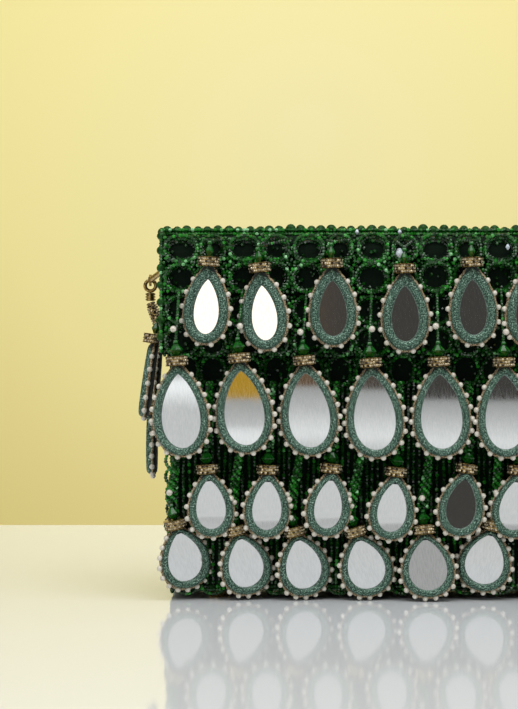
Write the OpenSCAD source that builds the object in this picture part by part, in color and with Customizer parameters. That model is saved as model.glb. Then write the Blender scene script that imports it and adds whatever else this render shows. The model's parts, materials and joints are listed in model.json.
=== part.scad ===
// Box-shaped evening bag, closed by an L-shaped flap and covered in glass bead netting.
// Rows of mirror drops hang on the front and sides, and a rigid arched handle hangs behind.
// Origin: centre of the footprint on the surface it stands on. +Z up, front towards -Y.

/* [Body] */
// Width of the stiffened body, outside its boards
body_w = 181; // [176:1:186]
// Depth of the stiffened body, outside its boards
body_d = 46; // [42:1:50]
// Height of the top edge of the boards above the ground
body_top = 123.2; // [122:0.2:126]
// Thickness of the body boards
board_t = 2.4; // [2:0.1:3]
// Thickness of the lining cloth
lining_t = 0.7; // [0.5:0.1:1]
// Height of the metal feet
foot_h = 3; // [2.5:0.1:4]
// Radius of a metal foot
foot_r = 4; // [3:0.5:6]
// Thickness of the bead netting on the body
net_t = 2.15; // [1.8:0.05:2.3]

/* [Flap] */
// How far the flap stands out beyond the boards on each side
flap_overhang = 5; // [3:0.5:6]
// Height of the flap's lower front edge above the ground
flap_low = 85; // [80:1:88]
// Thickness of the flap board
flap_board_t = 2.15; // [1.8:0.05:2.5]
// Thickness of the bead netting on the flap
flap_net_t = 2.75; // [2:0.05:3]
// Radius of the rolled front edge, inside the lining
flap_edge_r = 3; // [2:0.5:6]
// Radius of the piping that the flap turns on
piping_r = 1.5; // [1.2:0.1:1.8]
// Radius of a magnet disc
magnet_r = 7; // [5:0.5:8]

/* [Inner pocket] */
// Width of the patch pocket on the back lining
pocket_w = 90; // [60:1:120]
// Height of the patch pocket
pocket_h = 62; // [40:1:70]

/* [Mirror drops] */
// Distance between neighbouring drops in a row
pitch = 22; // [21:0.25:23]
// Number of drops in each row, from the top row down
row_counts = [8, 9, 8, 9];
// Width of the drops in each row
drop_w = [15.6, 18.2, 15, 16.6];
// Height of the drops in each row
drop_h = [25.2, 29.6, 20.4, 20.2];
// Height of the middle of each row's gilt rondelle above the ground
rondelle_z = [115.8, 83, 45.2, 24.2];
// Width of the padded rim round each mirror, for each row
rim_w = [3, 2.5, 2.4, 2.6];
// Thickness of a drop from its felt back to the crown of its rim
drop_t = 3.6; // [3:0.1:4]
// Depth of the mirror below the crown of its rim
mirror_set = 1.6; // [1:0.1:2]
// Radius of a gilt rondelle
rondelle_r = 4.1; // [3.8:0.05:4.2]
// Thickness of a gilt rondelle
rondelle_t = 3.4; // [3:0.1:3.6]
// Radius of the faceted crystal over a rondelle
crystal_r = 2; // [1.6:0.1:2.2]

/* [Handle] */
// Radius of the handle's stone-set arch
handle_r = 2.25; // [2:0.05:3]
// Distance between the centres of the two handle eyes
handle_span = 204; // [202:1:210]
// Angle of the handle's ends from upright
handle_lean = 20; // [15:1:25]
// Height of the handle's turning line above the ground
handle_z = 113; // [110:0.5:116]
// Radius of the end rings, to the middle of their wire
ring_r = 2; // [1.9:0.05:2.5]
// Radius of the ring wire
ring_wire_r = 0.7; // [0.6:0.05:0.7]

/* [Hidden] */
$fn = 48;
GAP = 0.05;             // between pieces that are glued or sewn together
CLEAR = 0.4;            // between pieces that move past each other
OVER = 1;               // how far a cutter runs past what it cuts
ROWS = 4;
FLAP_ROWS = 2;          // the upper rows hang on the flap
GREEN = [0.05, 0.30, 0.12];
DARK_GREEN = [0.03, 0.12, 0.06];
GOLD = [0.76, 0.62, 0.36];
THREAD = [0.36, 0.55, 0.47];
SILVER = [0.85, 0.87, 0.88];
SATIN = [0.30, 0.36, 0.28];
BOARD = [0.12, 0.17, 0.13];

// body
half_w = body_w / 2;
half_d = body_d / 2;
floor_z = 2 * foot_h;                   // top of the base board
inner_w = body_w - 2 * board_t;
inner_d = body_d - 2 * board_t;
wall_h = body_top - floor_z - GAP;
net_low = 5.2;                          // where the netting ends and the scallops begin
net_top = 121;
scallop_r = pitch / 4;
scallop_low = 0.9;
foot_x = 75;
foot_y = 15;

// flap: each sheet lies between two distances from the flap's innermost face
flap_front = half_d + net_t + CLEAR;    // innermost face of the flap, in front of the netting
flap_under = body_top + CLEAR;          // innermost face of the flap, over the boards
flap_w = body_w + 2 * flap_overhang;
flap_board_in = 0.6 + GAP;
flap_net_in = flap_board_in + flap_board_t + GAP;
flap_face = flap_front + flap_net_in + flap_net_t;
piping_y = half_d + 1.9;
piping_z = flap_under + 1.7;
flap_back = piping_y - piping_r - 0.2;
magnet_z = flap_low + magnet_r + 2;
magnet_t = 1.4;

// inner pocket
pocket_gap = 5.4;
pocket_t = 0.7;
pocket_low = 50;

// drops: heights are measured down from the drop's own hanging line
hanger_r = 0.7;
hanger_l = 2.4;
crystal_mid = -hanger_r - GAP - crystal_r;
rondelle_mid = crystal_mid - crystal_r - GAP - rondelle_t / 2;
neck_top = rondelle_mid - rondelle_t / 2 - GAP;
apex = neck_top - 1;
neck_l = 2.5;
neck_r = 1.2;
neck_drop = 0.3;                        // a leaning neck starts lower, clear of the rondelle
felt_t = 0.8;
mirror_t = 1;
crystal_bore = 0.5;
stem_r = 0.4;
front_rest = half_d + net_t + rondelle_r + CLEAR;   // where the lower rows hang
row_y = [-flap_face - rondelle_r - CLEAR, -flap_face - rondelle_r - CLEAR,
         -front_rest - 0.8, -front_rest];
row_lift = [0, 0, 2.3, 0];              // the third row stands forward of the rondelles below it

// side drops: two of the top row's size, and one of the third row's size between them
side_x = half_w + net_t + rondelle_r + CLEAR;
side_pitch = 24;
side_upper_z = 97;
side_lower_z = 71.7;

// handle: it hangs as far behind the middle as the drops stand out in front
handle_y = -row_y[0] + rondelle_r - handle_r;
eye_r = 2.2;
eye_t = 0.9;
eye_bore = 1;
bar_r = 1.1;
stem_l = 7;
tab_plate = [1.6, 8, 6];
collar_h = 3;
collar_r = 1.9;
collar_top = -2 * ring_r - ring_wire_r - GAP;
taper_l = 6;
taper_r = 1.6;
taper_top = collar_top - collar_h - GAP - taper_r * sin(handle_lean);   // clears the collar as it leans
arch_half = handle_span / 2 - taper_l * sin(handle_lean);
arch_end = taper_top - taper_l * cos(handle_lean);
arch_r = arch_half / cos(handle_lean);

function drop_name(r, c) = str("row", r + 1, "_drop_", c + 1);
function drop_x(r, c) = (c - (row_counts[r] - 1) / 2) * pitch;

DROP_NODES = [for (r = [0 : ROWS - 1]) for (c = [0 : row_counts[r] - 1]) drop_name(r, c)];

// ---- helpers ----
// a block given by its lowest corner and its size
module block(low, size) { translate(low) cube(size); }

// a disc whose axis runs front to back, from y0 to y1
module disc_y(x, z, r, y0, y1) {
    translate([x, y1, z]) rotate([90, 0, 0]) cylinder(h = y1 - y0, r = r);
}

// a round rod between two points
module rod(p, q, r1, r2) {
    d = q - p;
    l = norm(d);
    translate(p) rotate([0, acos(d.z / l), atan2(d.y, d.x)]) cylinder(h = l, r1 = r1, r2 = r2);
}

// copies a piece that stands on the right to the left as well
module both_sides() {
    children();
    mirror([1, 0, 0]) children();
}

// ---- body ----
module front_panel() {
    color(BOARD) difference() {
        block([-half_w, -half_d, floor_z + GAP], [body_w, board_t, wall_h]);
        disc_y(0, magnet_z, magnet_r + GAP, -half_d - OVER, -half_d + magnet_t + GAP);
    }
}

module back_panel() {
    color(BOARD) block([-half_w, half_d - board_t, floor_z + GAP], [body_w, board_t, wall_h]);
}

module base_panel() {
    color(BOARD) block([-half_w, -half_d, foot_h], [body_w, body_d, floor_z - foot_h]);
}

module right_gusset() {
    color(BOARD) block([half_w - board_t, -inner_d / 2 + GAP, floor_z + GAP],
                       [board_t, inner_d - 2 * GAP, wall_h]);
}

module left_gusset() { mirror([1, 0, 0]) right_gusset(); }

module lining() {
    w = inner_w - 2 * GAP;
    d = inner_d - 2 * GAP;
    color(SATIN) difference() {
        block([-w / 2, -d / 2, floor_z + GAP], [w, d, wall_h]);
        block([-w / 2 + lining_t, -d / 2 + lining_t, floor_z + GAP + lining_t],
              [w - 2 * lining_t, d - 2 * lining_t, wall_h]);
    }
}

module inner_pocket() {
    back = inner_d / 2 - lining_t - 2 * GAP;
    color(SATIN) difference() {
        block([-pocket_w / 2, back - pocket_gap - pocket_t, pocket_low],
              [pocket_w, pocket_gap + pocket_t, pocket_h]);
        block([-pocket_w / 2 + pocket_t, back - pocket_gap, pocket_low + pocket_t],
              [pocket_w - 2 * pocket_t, pocket_gap + OVER, pocket_h]);
    }
}

module net_sheet(y) {
    color(GREEN) block([-half_w, y, net_low], [body_w, net_t - GAP, net_top - net_low]);
}

module front_bead_net() { net_sheet(-half_d - net_t); }

module back_bead_net() { net_sheet(half_d + GAP); }

module side_bead_nets() {
    color(GREEN) both_sides()
        block([half_w + GAP, -half_d, net_low], [net_t - GAP, body_d, net_top - net_low]);
}

// scalloped bead loops under the lower edge of the front netting
module base_bead_fringe() {
    y = -half_d - net_t;
    n = floor(body_w / (2 * scallop_r));
    color(DARK_GREEN) intersection() {
        for (i = [0 : n - 1])
            disc_y((i - (n - 1) / 2) * 2 * scallop_r, scallop_low + scallop_r,
                   scallop_r + GAP, y, y + net_t - GAP);
        block([-half_w, y - OVER, scallop_low], [body_w, net_t + 2 * OVER, net_low - GAP - scallop_low]);
    }
}

module base_feet() {
    color(GOLD) both_sides()
        for (s = [-1, 1])
            translate([foot_x, s * foot_y, 0]) cylinder(h = foot_h - GAP, r1 = foot_r - 0.6, r2 = foot_r);
}

module magnet_socket() {
    color(SILVER) disc_y(0, magnet_z, magnet_r, -half_d + GAP, -half_d + magnet_t);
}

// gilt tabs at the rear top corners: a plate on the gusset, a bar and an eye
module handle_tabs() {
    x = handle_span / 2;
    plate_x = half_w + net_t + GAP;
    color(GOLD) both_sides() difference() {
        union() {
            translate([x - eye_t / 2, handle_y, handle_z]) rotate([0, 90, 0])
                cylinder(h = eye_t, r = eye_r);
            block([x - eye_t / 2, handle_y - stem_l, handle_z - bar_r],
                  [eye_t, stem_l - eye_bore, 2 * bar_r]);
            rod([plate_x + bar_r, 14, 117.5], [x - eye_t / 2, handle_y - stem_l + bar_r, handle_z],
                bar_r, bar_r);
            block([plate_x, 10, 114.5], tab_plate);
        }
        translate([x - eye_t, handle_y, handle_z]) rotate([0, 90, 0])
            cylinder(h = 2 * eye_t, r = eye_bore);
    }
}

// ---- flap ----
// side outline of the space under a sheet that lies d outside the flap's innermost face
module flap_under_2d(d, low) {
    r = flap_edge_r + d;
    y0 = -flap_front - d;
    z1 = flap_under + d;
    translate([y0 + r, z1 - r]) circle(r);
    translate([y0 + r, low]) square([flap_back - y0 - r, z1 - low]);
    translate([y0, low]) square([flap_back - y0, z1 - r - low]);
}

// one bent sheet of the flap, from d0 to d1 outside its innermost face
module flap_sheet(d0, d1, w) {
    rotate([90, 0, 90]) linear_extrude(h = w, center = true) difference() {
        flap_under_2d(d1, flap_low);
        flap_under_2d(d0, flap_low - OVER);
    }
}

module flap_lining() { color(SATIN) flap_sheet(0, flap_board_in - GAP, flap_w - 4); }

module flap_board() {
    inner = -flap_front - flap_board_in;
    color(BOARD) difference() {
        flap_sheet(flap_board_in, flap_board_in + flap_board_t, flap_w - 2);
        disc_y(0, magnet_z, magnet_r + GAP, inner - magnet_t - GAP, inner + OVER);
    }
}

module flap_bead_net() {
    color(GREEN) flap_sheet(flap_net_in, flap_net_in + flap_net_t, flap_w);
}

module flap_magnet() {
    inner = -flap_front - flap_board_in;
    color(SILVER) disc_y(0, magnet_z, magnet_r, inner - magnet_t, inner - GAP);
}

module flap_hinge_piping() {
    color(DARK_GREEN) translate([-flap_w / 2 + 2, piping_y, piping_z]) rotate([0, 90, 0])
        cylinder(h = flap_w - 4, r = piping_r);
}

// ---- mirror drops ----
// pear outline of width w and height h with its point at the origin, hanging down:
// a round bulb whose sides run up into two flatter arcs that meet at the point
module pear_2d(w, h) {
    r = w / 2;
    rise = h - r;
    side_r = (rise * rise + r * r) / w;
    translate([0, -rise]) {
        circle(r);
        intersection() {
            translate([r - side_r, 0]) circle(side_r, $fn = 96);
            translate([side_r - r, 0]) circle(side_r, $fn = 96);
            translate([-r, 0]) square([w, rise]);
        }
    }
}

// a pear-shaped slab that stands upright, its back at y1 and its front t before it
module pear(w, h, y1, t) {
    translate([0, y1, 0]) rotate([90, 0, 0]) linear_extrude(h = t) pear_2d(w, h);
}

module padded_rim(w, h, rim) {
    back = drop_t / 2;
    color(THREAD) difference() {
        pear(w, h, back, drop_t);
        translate([0, 0, -1.3 * rim]) pear(w - 2 * rim, h - 2.3 * rim, back - felt_t, drop_t);
    }
}

module mirror_glass(w, h, rim) {
    color(SILVER) translate([0, 0, -1.3 * rim - GAP])
        pear(w - 2 * rim - 2 * GAP, h - 2.3 * rim - 2 * GAP, -drop_t / 2 + mirror_set + mirror_t, mirror_t);
}

module rondelle() {
    c = 0.6;
    t = rondelle_t / 2;
    color(GOLD) rotate_extrude() polygon([[stem_r + GAP, -t], [rondelle_r - c, -t], [rondelle_r, -t + c],
        [rondelle_r, t - c], [rondelle_r - c, t], [stem_r + GAP, t]]);
}

module crystal() {
    tip = 0.9;
    color(GREEN) rotate_extrude() polygon([[crystal_bore, -crystal_r], [tip, -crystal_r], [crystal_r, 0],
        [tip, crystal_r], [crystal_bore, crystal_r]]);
}

// the loop it hangs by and the core thread through crystal and rondelle
module hanger() {
    color(GOLD) {
        translate([-hanger_l / 2, 0, 0]) rotate([0, 90, 0]) cylinder(h = hanger_l, r = hanger_r);
        translate([0, 0, neck_top]) cylinder(h = -neck_top, r = stem_r);
    }
}

// one drop, hanging from the origin and facing -Y; lift brings the drop itself forward
module mirror_drop(w, h, rim, lift) {
    hanger();
    translate([0, 0, crystal_mid]) crystal();
    translate([0, 0, rondelle_mid]) rondelle();
    translate([0, -lift, apex]) {
        padded_rim(w, h, rim);
        mirror_glass(w, h, rim);
    }
    neck_start = neck_top - GAP - lift * neck_drop;
    color(THREAD) rod([0, 0, neck_start], [0, -lift, apex - neck_l], neck_r, neck_r);
}

module row_drop(r, c) {
    translate([drop_x(r, c), row_y[r], rondelle_z[r] - rondelle_mid])
        mirror_drop(drop_w[r], drop_h[r], rim_w[r], row_lift[r]);
}

// drops on the right side face +X
module side_drop(y, z, r) {
    translate([side_x, y, z]) rotate([0, 0, 90]) mirror_drop(drop_w[r], drop_h[r], rim_w[r], 0);
}

module right_side_upper_drops() {
    for (s = [-1, 1])
        side_drop(s * side_pitch / 2, side_upper_z, 0);
}

module right_side_lower_drop() { side_drop(0, side_lower_z, 2); }

module left_side_upper_drops() { mirror([1, 0, 0]) right_side_upper_drops(); }

module left_side_lower_drop() { mirror([1, 0, 0]) right_side_lower_drop(); }

// ---- handle ----
module at_handle_end() {
    both_sides() translate([handle_span / 2, handle_y, handle_z]) children();
}

module handle_rings() {
    color(GOLD) at_handle_end() translate([0, 0, -ring_r]) rotate([90, 0, 0])
        rotate_extrude() translate([ring_r, 0]) circle(ring_wire_r);
}

// a collar of three rolled ribs below each ring
module handle_collars() {
    rib = collar_h / 3;
    color(GOLD) at_handle_end()
        for (i = [0 : 2])
            translate([0, 0, collar_top - (i + 1) * rib]) {
                cylinder(h = rib, r = collar_r - 0.35);
                translate([0, 0, rib * 0.25]) cylinder(h = rib * 0.5, r = collar_r);
            }
}

module handle_arch() {
    color(GOLD) {
        translate([0, handle_y, handle_z + arch_end + arch_r * sin(handle_lean)]) rotate([-90, 0, 0])
            rotate([0, 0, handle_lean]) rotate_extrude(angle = 180 - 2 * handle_lean, $fn = 96)
                translate([arch_r, 0]) circle(handle_r, $fn = 48);
        at_handle_end()
            rod([(GAP - taper_l) * sin(handle_lean), 0, arch_end + GAP * cos(handle_lean)],
                [0, 0, taper_top], handle_r, taper_r);
    }
}

front_panel();
back_panel();
base_panel();
left_gusset();
right_gusset();
lining();
inner_pocket();
front_bead_net();
back_bead_net();
side_bead_nets();
base_bead_fringe();
base_feet();
magnet_socket();
handle_tabs();
flap_board();
flap_lining();
flap_bead_net();
flap_magnet();
flap_hinge_piping();
handle_arch();
handle_rings();
handle_collars();
left_side_upper_drops();
left_side_lower_drop();
right_side_upper_drops();
right_side_lower_drop();
for (r = [0 : ROWS - 1])
    for (c = [0 : row_counts[r] - 1])
        row_drop(r, c);
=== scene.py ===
"""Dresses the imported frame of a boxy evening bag.

Bead netting, hanging mirror drops, satin linings and a stone-set handle ride on the bag's moving bodies.
"""

import json
import math

import bpy
import numpy as np
from mathutils import Matrix, Vector


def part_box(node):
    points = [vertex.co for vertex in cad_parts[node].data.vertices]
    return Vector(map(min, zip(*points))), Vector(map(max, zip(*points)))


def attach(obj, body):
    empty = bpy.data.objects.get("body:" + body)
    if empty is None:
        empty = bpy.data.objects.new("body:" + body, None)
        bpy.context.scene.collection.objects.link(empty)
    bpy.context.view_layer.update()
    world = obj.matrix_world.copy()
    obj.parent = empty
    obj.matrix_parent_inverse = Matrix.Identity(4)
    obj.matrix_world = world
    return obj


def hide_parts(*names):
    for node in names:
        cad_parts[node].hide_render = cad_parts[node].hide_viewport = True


bl_info = {
    "name": "Beaded Evening Bag",
    "version": (1, 0, 0),
    "blender": (4, 5, 0),
    "location": "View3D > Sidebar > Evening Bag",
    "description": "Builds the netting, drops, handle and studio of a beaded evening bag round its frame",
    "category": "Add Mesh",
}

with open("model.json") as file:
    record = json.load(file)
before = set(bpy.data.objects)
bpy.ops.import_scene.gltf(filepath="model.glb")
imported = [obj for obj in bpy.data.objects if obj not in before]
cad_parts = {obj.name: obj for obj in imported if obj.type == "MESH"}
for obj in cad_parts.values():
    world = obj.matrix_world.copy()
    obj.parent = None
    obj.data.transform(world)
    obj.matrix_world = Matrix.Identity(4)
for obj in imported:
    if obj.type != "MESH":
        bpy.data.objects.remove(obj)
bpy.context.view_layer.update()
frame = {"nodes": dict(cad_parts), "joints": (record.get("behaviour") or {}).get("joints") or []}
JOINTS = {joint["name"]: joint for joint in frame["joints"]}
MM = 0.001
SEED = 7
UP = Vector((0, 0, 1))


# ---- colour and nodes ----

def srgb(code):
    """The linear RGBA of an sRGB hex colour."""
    parts = [int(code[i:i + 2], 16) / 255 for i in (1, 3, 5)]
    return tuple(c / 12.92 if c <= 0.04045 else ((c + 0.055) / 1.055) ** 2.4 for c in parts) + (1.0,)


def add_node(tree, kind, inputs=None, **settings):
    """Adds a node with its settings and inputs; a socket is linked, and anything else is set as a value."""
    node = tree.nodes.new(kind)
    for key, value in settings.items():
        setattr(node, key, value)
    for key, value in (inputs or {}).items():
        if isinstance(value, bpy.types.NodeSocket):
            tree.links.new(value, node.inputs[key])
        else:
            node.inputs[key].default_value = value
    return node


def new_material(name):
    """An empty node material and its tree."""
    made = bpy.data.materials.new(name)
    made.use_nodes = True
    made.node_tree.nodes.clear()
    return made, made.node_tree


def surface(tree, inputs):
    """Ends a tree in a Principled shader with these inputs."""
    shader = add_node(tree, "ShaderNodeBsdfPrincipled", inputs)
    add_node(tree, "ShaderNodeOutputMaterial", {"Surface": shader.outputs["BSDF"]})


def ramp(tree, value, stops):
    """A colour ramp over value, from (place, hex) stops."""
    node = add_node(tree, "ShaderNodeValToRGB", {"Fac": value})
    marks = node.color_ramp.elements
    while len(marks) < len(stops):
        marks.new(0.5)
    for mark, (place, code) in zip(marks, stops):
        mark.position = place
        mark.color = srgb(code)
    return node.outputs["Color"]


def noise(tree, pitch, detail=2.0, stretch=(1, 1, 1)):
    """Noise with features about pitch metres across, fixed to the piece."""
    place = add_node(tree, "ShaderNodeTexCoord").outputs["Object"]
    if stretch != (1, 1, 1):
        place = add_node(tree, "ShaderNodeMapping", {"Vector": place, "Scale": stretch}).outputs["Vector"]
    node = add_node(tree, "ShaderNodeTexNoise", {"Vector": place, "Scale": 1 / pitch, "Detail": detail})
    return node.outputs["Fac"]


def bump(tree, height, distance):
    """A normal raised and sunk by height."""
    return add_node(tree, "ShaderNodeBump", {"Height": height, "Distance": distance}).outputs["Normal"]


def spread_over(tree, value, low, high, to_low=0.0, to_high=1.0):
    """A value between low and high, mapped evenly to another range."""
    limits = {"Value": value, "From Min": low, "From Max": high, "To Min": to_low, "To Max": to_high}
    return add_node(tree, "ShaderNodeMapRange", limits).outputs["Result"]


def grained(name, pitch, stops, inputs, detail=2.0, stretch=(1, 1, 1), relief=0.0, roughness=None):
    """A material coloured by a fine noise, which can also raise its surface and vary its roughness.

    roughness is (noise from, noise to, roughness from, roughness to).
    """
    made, tree = new_material(name)
    grain = noise(tree, pitch, detail, stretch)
    inputs = {"Base Color": ramp(tree, grain, stops), **inputs}
    if relief:
        inputs["Normal"] = bump(tree, grain, relief)
    if roughness:
        inputs["Roughness"] = spread_over(tree, grain, *roughness)
    surface(tree, inputs)
    return made


def toned(name, stops, inputs):
    """A material for many small pieces in one mesh, each coloured by its own tone."""
    made, tree = new_material(name)
    tone = add_node(tree, "ShaderNodeAttribute", attribute_name="tone").outputs["Fac"]
    surface(tree, {"Base Color": ramp(tree, tone, stops), **inputs})
    return made


def book_cloth(name, dark, light, thread):
    """Plain-woven cloth glued over board: a fine square weave, nearly without shine."""
    made, tree = new_material(name)
    place = add_node(tree, "ShaderNodeTexCoord").outputs["Object"]
    waves = [add_node(tree, "ShaderNodeTexWave", {"Vector": place, "Scale": 1 / (thread * 3.2)},
                      bands_direction=way).outputs["Fac"] for way in ("X", "Z")]
    crossing = add_node(tree, "ShaderNodeMath", {0: waves[0], 1: waves[1]}, operation="MULTIPLY")
    weave = crossing.outputs["Value"]
    surface(tree, {"Base Color": ramp(tree, weave, [(0.1, dark), (0.9, light)]), "Roughness": 0.9,
                   "Specular IOR Level": 0.2, "Normal": bump(tree, weave, 0.1 * MM)})
    return made


def cut_crystal(name, dark, light, roughness, shine=0.5):
    """Cut crystal in a deep colour: sharp sparks from flat facets over a dark body."""
    return grained(name, 1.2 * MM, [(0.35, dark), (0.65, light)],
                   {"Roughness": roughness, "IOR": 1.5, "Specular IOR Level": shine})


def metallic_thread(name, dark, body, light):
    """Metallised thread wound over padding: foil flecks that catch the light between duller turns.

    The flecks are drawn about 0.5 mm across, coarser than real foil, so that they show.
    """
    return grained(name, 0.45 * MM, [(0.38, dark), (0.48, body), (0.58, light), (0.68, "#aec4b7")],
                   {"Metallic": 0.3}, 3.0, relief=0.25 * MM, roughness=(0.35, 0.7, 0.6, 0.32))


MATERIALS = {}


def material(name):
    """The bag's materials, each made the first time it is asked for."""
    makers = {
        # Drawn seed beads, fire polished: small round highlights, each bead a slightly different green; the
        # near-white top of the ramp is a painted highlight on beads raised in tone, and the darkest greens
        # carry painted shade deep in the netting.
        "green_seed_glass": lambda: toned(
            name, [(0.0, "#071a07"), (0.45, "#175016"), (0.8, "#309a2c"), (1.0, "#9ddba0")],
            {"Roughness": 0.16, "IOR": 1.52, "Specular IOR Level": 0.45}),
        # Large beads worn to a dull surface: their light is soft and stays inside them.
        "olive_glass": lambda: cut_crystal(name, "#0d2f0b", "#1f5418", 0.3, shine=0.15),
        "green_crystal": lambda: cut_crystal(name, "#0a3a10", "#1b6a1c", 0.1),
        "clear_crystal": lambda: cut_crystal(name, "#bfcbd6", "#e6eef5", 0.04),
        # Glass dipped in pearl essence: soft white with a satin, faintly warm lustre.
        "pearl_lustre": lambda: grained(
            name, 0.9 * MM, [(0.35, "#c4bcaa"), (0.6, "#ddd7c9")],
            {"Roughness": 0.28, "IOR": 1.53, "Coat Weight": 0.7, "Coat Roughness": 0.12,
             "Sheen Weight": 0.15}),
        "sage_metallic_thread": lambda: metallic_thread(name, "#12261f", "#30503f", "#648a77"),
        "zari_cord": lambda: metallic_thread(name, "#3a2c1e", "#8d7656", "#bda784"),
        # Pressed wool: dull, with fine mottled fibre.
        "dark_felt": lambda: grained(
            name, 0.5 * MM, [(0.3, "#0c1714"), (0.7, "#1c2d28")],
            {"Roughness": 0.92, "Sheen Weight": 0.3}, 4.0, relief=0.15 * MM),
        # Silvered glass, slightly drawn: a clean image with a faint upright grain.
        "silvered_mirror": lambda: grained(
            name, 0.3 * MM, [(0.3, "#e8ebeb"), (0.7, "#f9fafa")],
            {"Metallic": 1.0}, stretch=(1, 1, 0.15), roughness=(0.3, 0.7, 0.02, 0.045)),
        # Gilt brass, polished after casting: warm, with dark tarnish left in the recesses.
        "gilt_brass": lambda: grained(
            name, 0.8 * MM, [(0.35, "#5c4a2e"), (0.6, "#b3995f")],
            {"Metallic": 1.0, "Roughness": 0.24}, 3.0, relief=0.04 * MM),
        # Foil-backed stones: each stone is painted a bright or a dark tone at random, a painted glint for
        # how its facets fall.
        "rhinestone_foil": lambda: toned(
            name, [(0.15, "#352b20"), (0.75, "#cdbd9b")], {"Metallic": 0.6, "Roughness": 0.22}),
        "board_cloth": lambda: book_cloth(name, "#041007", "#0d2613", 0.45 * MM),
        # Silk satin: long floats of thread that give a soft streaked sheen.
        "satin_lining": lambda: grained(
            name, 0.7 * MM, [(0.3, "#23402c"), (0.7, "#3d6146")],
            {"Roughness": 0.38, "Sheen Weight": 0.5, "Sheen Roughness": 0.3, "Anisotropic": 0.5},
            3.0, (0.15, 1, 1), relief=0.05 * MM),
        # Nickel-plated steel: even, pale and lightly brushed.
        "nickel_plate": lambda: grained(
            name, 0.4 * MM, [(0.3, "#9b9c9e"), (0.7, "#c6c8ca")],
            {"Metallic": 1.0, "Roughness": 0.3}, stretch=(0.1, 1, 1)),
    }
    if name not in MATERIALS:
        MATERIALS[name] = makers[name]()
    return MATERIALS[name]


# ---- small solids and how they are gathered ----

def lofted(rings, closed_across=False):
    """One shape from closed rings of points, capped at its ends unless the last ring joins the first."""
    number = len(rings[0])
    verts = np.concatenate(rings)
    spans = len(rings) if closed_across else len(rings) - 1
    faces = []
    for k in range(spans):
        a, b = k * number, ((k + 1) % len(rings)) * number
        faces += [(a + i, a + (i + 1) % number, b + (i + 1) % number, b + i) for i in range(number)]
    if not closed_across:
        last = (len(rings) - 1) * number
        faces.append(tuple(range(number))[::-1])
        faces.append(tuple(range(last, last + number)))
    return verts, faces


def turned(profile, sides):
    """A solid of revolution round Z from (radius, height) points, closed at both ends."""
    angles = np.arange(sides) * 2 * math.pi / sides
    across, deep = np.cos(angles), np.sin(angles)
    return lofted([np.stack([r * across, r * deep, np.full(sides, z)], 1) for r, z in profile])


IDENTITY = np.eye(4)[None]
BARREL = turned([(0.6, -1.0), (1.0, 0.0), (0.6, 1.0)], 6)
BALL = turned([(math.cos(a), math.sin(a)) for a in np.linspace(-0.48 * math.pi, 0.48 * math.pi, 8)], 12)
BICONE = turned([(0.35, -1.0), (1.0, -0.08), (1.0, 0.08), (0.35, 1.0)], 8)
STONE = turned([(0.85, -0.5), (1.0, 0.0), (0.55, 0.5)], 6)


class Pile:
    """Many small solids gathered into one mesh: each face has a material slot, and each solid a tone."""

    def __init__(self):
        self.verts, self.loops, self.sizes, self.slots, self.tones = [], [], [], [], []
        self.count = 0

    def add(self, shape, matrices, slot=0, tones=0.5):
        """Adds a copy of shape at each 4x4 matrix."""
        verts, faces = shape
        matrices = np.asarray(matrices, float).reshape(-1, 4, 4)
        copies, each = len(matrices), len(verts)
        if not copies:
            return
        placed = np.einsum("kij,nj->kni", matrices[:, :3, :3], verts) + matrices[:, None, :3, 3]
        flat = np.concatenate([np.array(f) for f in faces])
        shift = self.count + np.arange(copies)[:, None] * each
        self.verts.append(placed.reshape(-1, 3))
        self.loops.append((flat[None, :] + shift).ravel())
        self.sizes.append(np.tile([len(f) for f in faces], copies))
        self.slots.append(np.full(copies * len(faces), slot))
        self.tones.append(np.repeat(np.broadcast_to(tones, (copies,)), each))
        self.count += copies * each

    def mesh(self, name, materials, smooth=False):
        """The gathered mesh."""
        verts, loops, sizes = (np.concatenate(x) for x in (self.verts, self.loops, self.sizes))
        made = bpy.data.meshes.new(name)
        made.vertices.add(len(verts))
        made.loops.add(len(loops))
        made.polygons.add(len(sizes))
        made.vertices.foreach_set("co", verts.astype(np.float32).ravel())
        made.loops.foreach_set("vertex_index", loops.astype(np.int32))
        made.polygons.foreach_set("loop_start", (np.cumsum(sizes) - sizes).astype(np.int32))
        made.polygons.foreach_set("material_index", np.concatenate(self.slots).astype(np.int32))
        made.polygons.foreach_set("use_smooth", np.full(len(sizes), smooth))
        made.update(calc_edges=True)
        tone = made.attributes.new("tone", "FLOAT", "POINT")
        tone.data.foreach_set("value", np.concatenate(self.tones).astype(np.float32))
        for each in materials:
            made.materials.append(material(each))
        return made

    def put(self, name, materials, body, slot, replaces=(), smooth=False):
        """Puts up the gathered mesh as a piece that rides on a body."""
        return put(name, self.mesh(name, materials, smooth), body, replaces)


def put(name, mesh, body, replaces=(), place=None):
    """Makes an object of mesh that rides on a body."""
    made = bpy.data.objects.new(name, mesh)
    bpy.context.scene.collection.objects.link(made)
    if place is not None:
        made.matrix_world = place
    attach(made, body)
    if replaces:
        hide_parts(*replaces)
    return made


def unit(rows):
    """Each row scaled to length one."""
    return rows / np.linalg.norm(rows, axis=1)[:, None]


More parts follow.
